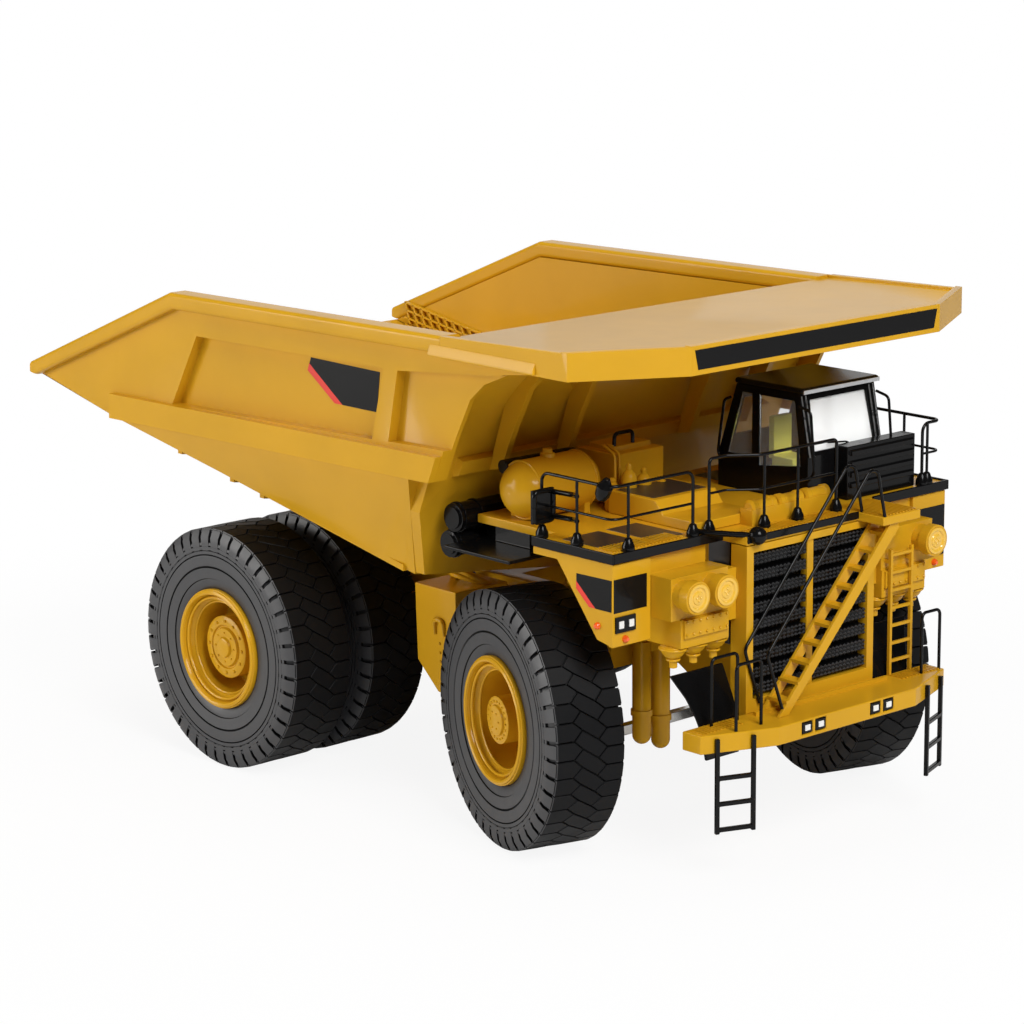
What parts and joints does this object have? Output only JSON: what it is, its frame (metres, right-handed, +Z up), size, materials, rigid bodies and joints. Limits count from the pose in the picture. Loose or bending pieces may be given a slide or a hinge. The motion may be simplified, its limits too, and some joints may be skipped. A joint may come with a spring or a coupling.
{
  "type": "scale model of a mining dump truck",
  "caption": "Rigid-frame mining dump truck model with a tipping body, steered front wheels, dual rear wheels and telescopic hoist cylinders.",
  "frame": {"origin": "on the ground, below the middle of the overall length and width", "axes": "+X to the front of the truck, +Y to its left, +Z up"},
  "size_m": [0.2686, 0.152, 0.1423],
  "materials": {
    "yellow_paint": "gloss",
    "black_paint": "satin",
    "black_metal": "satin",
    "tyre_rubber": "matte",
    "steel": "polished",
    "glass": "clear",
    "lamp_lens": "gloss",
    "seat_cover": "matte"
  },
  "bodies": {
    "chassis": {"accumulators": "yellow_paint", "air_cleaners": "black_paint", "air_conditioner": "black_paint", "bed_pin": "steel", "box_ladder": "yellow_paint", "bumper": "yellow_paint", "cab_glass": "glass", "cab_roof": "black_paint", "cab_shell": "black_paint", "cabinet": "yellow_paint", "console": "black_paint", "cross_members": "yellow_paint", "deck": "yellow_paint", "deck_tank": "yellow_paint", "engine_block": "yellow_paint", "fenders": "yellow_paint", "front_struts": "yellow_paint", "fuel_tank": "yellow_paint", "grille": "yellow_paint", "grille_slats": "black_paint", "handrails": "black_paint", "headlamps": "lamp_lens", "hood": "yellow_paint", "ladders": "black_paint", "lamp_boxes": "yellow_paint", "mud_plates": "black_paint", "oil_tank": "yellow_paint", "radiator": "black_metal", "rail_left": "yellow_paint", "rail_right": "yellow_paint", "rear_axle": "yellow_paint", "rear_struts": "yellow_paint", "seat": "seat_cover", "stair": "yellow_paint", "upright_cylinders": "yellow_paint"},
    "dump_body": {"bed_floor": "yellow_paint", "bed_side_right": "yellow_paint", "bed_side_left": "yellow_paint", "bed_front": "yellow_paint", "canopy": "yellow_paint"},
    "tie_rod": {"tie_bar": "steel"},
    "steering_right": {"knuckle_right": "yellow_paint"},
    "front_wheel_right": {"tyre_front_right": "tyre_rubber", "wheel_front_right": "yellow_paint"},
    "rear_wheels_right": {"tyre_rear_right_outer": "tyre_rubber", "tyre_rear_right_inner": "tyre_rubber", "wheels_rear_right": "yellow_paint"},
    "barrel_right": {"hoist_barrel_right": "yellow_paint"},
    "stage_right": {"hoist_stage_right": "black_metal"},
    "piston_right": {"hoist_rod_right": "steel"},
    "steering_left": {"knuckle_left": "yellow_paint"},
    "front_wheel_left": {"tyre_front_left": "tyre_rubber", "wheel_front_left": "yellow_paint"},
    "rear_wheels_left": {"tyre_rear_left_outer": "tyre_rubber", "tyre_rear_left_inner": "tyre_rubber", "wheels_rear_left": "yellow_paint"},
    "barrel_left": {"hoist_barrel_left": "yellow_paint"},
    "stage_left": {"hoist_stage_left": "black_metal"},
    "piston_left": {"hoist_rod_left": "steel"}
  },
  "joints": [
    {"name": "bed_tilt", "type": "hinge", "parent": "chassis", "child": "dump_body", "pos_m": [-0.062, 0, 0.06], "axis": [0, -1, 0], "range_deg": [0, 45]},
    {"name": "steer_right", "type": "hinge", "parent": "chassis", "child": "steering_right", "pos_m": [0.0732, -0.04, 0.03555], "axis": [0, 0, 1], "range_deg": [-10.4, 41.6]},
    {"name": "steer_left", "type": "hinge", "parent": "chassis", "child": "steering_left", "pos_m": [0.0732, 0.04, 0.03555], "axis": [0, 0, 1], "range_deg": [-10.4, 41.6]},
    {"name": "tie_turn", "type": "hinge", "parent": "steering_right", "child": "tie_rod", "pos_m": [0.06164, -0.03677, 0.023], "axis": [0, 0, 1], "range_deg": [-41.6, 10.4]},
    {"name": "roll_front_right", "type": "hinge", "parent": "steering_right", "child": "front_wheel_right", "pos_m": [0.06887, -0.05551, 0.03555], "axis": [0.2689, 0.9632, 0], "continuous": true},
    {"name": "roll_front_left", "type": "hinge", "parent": "steering_left", "child": "front_wheel_left", "pos_m": [0.07753, 0.05551, 0.03555], "axis": [0.2689, 0.9632, 0], "continuous": true},
    {"name": "roll_rear_right", "type": "hinge", "parent": "chassis", "child": "rear_wheels_right", "pos_m": [-0.0449, -0.04965, 0.03555], "axis": [0, 1, 0], "continuous": true},
    {"name": "roll_rear_left", "type": "hinge", "parent": "chassis", "child": "rear_wheels_left", "pos_m": [-0.0449, 0.04965, 0.03555], "axis": [0, 1, 0], "continuous": true},
    {"name": "hoist_swing_right", "type": "hinge", "parent": "chassis", "child": "barrel_right", "pos_m": [-0.002, -0.0206, 0.024], "axis": [0, -1, 0], "range_deg": [0, 20]},
    {"name": "hoist_stage_right", "type": "slide", "parent": "barrel_right", "child": "stage_right", "axis": [0.1812, 0, 0.9835], "range_m": [0, 0.0238]},
    {"name": "hoist_rod_right", "type": "slide", "parent": "stage_right", "child": "piston_right", "axis": [0.1812, 0, 0.9835], "range_m": [0, 0.0238]},
    {"name": "hoist_swing_left", "type": "hinge", "parent": "chassis", "child": "barrel_left", "pos_m": [-0.002, 0.0206, 0.024], "axis": [0, -1, 0], "range_deg": [0, 20]},
    {"name": "hoist_stage_left", "type": "slide", "parent": "barrel_left", "child": "stage_left", "axis": [0.1812, 0, 0.9835], "range_m": [0, 0.0238]},
    {"name": "hoist_rod_left", "type": "slide", "parent": "stage_left", "child": "piston_left", "axis": [0.1812, 0, 0.9835], "range_m": [0, 0.0238]}
  ],
  "couplings": [
    {"joint": "steer_left", "follows": "steer_right", "ratio": 1},
    {"joint": "tie_turn", "follows": "steer_right", "ratio": -1},
    {"joint": "hoist_swing_right", "follows": "bed_tilt", "ratio": 0.44085},
    {"joint": "hoist_stage_right", "follows": "bed_tilt", "m_per_rad": 0.030115},
    {"joint": "hoist_rod_right", "follows": "bed_tilt", "m_per_rad": 0.030115},
    {"joint": "hoist_swing_left", "follows": "bed_tilt", "ratio": 0.44085},
    {"joint": "hoist_stage_left", "follows": "bed_tilt", "m_per_rad": 0.030115},
    {"joint": "hoist_rod_left", "follows": "bed_tilt", "m_per_rad": 0.030115}
  ]
}
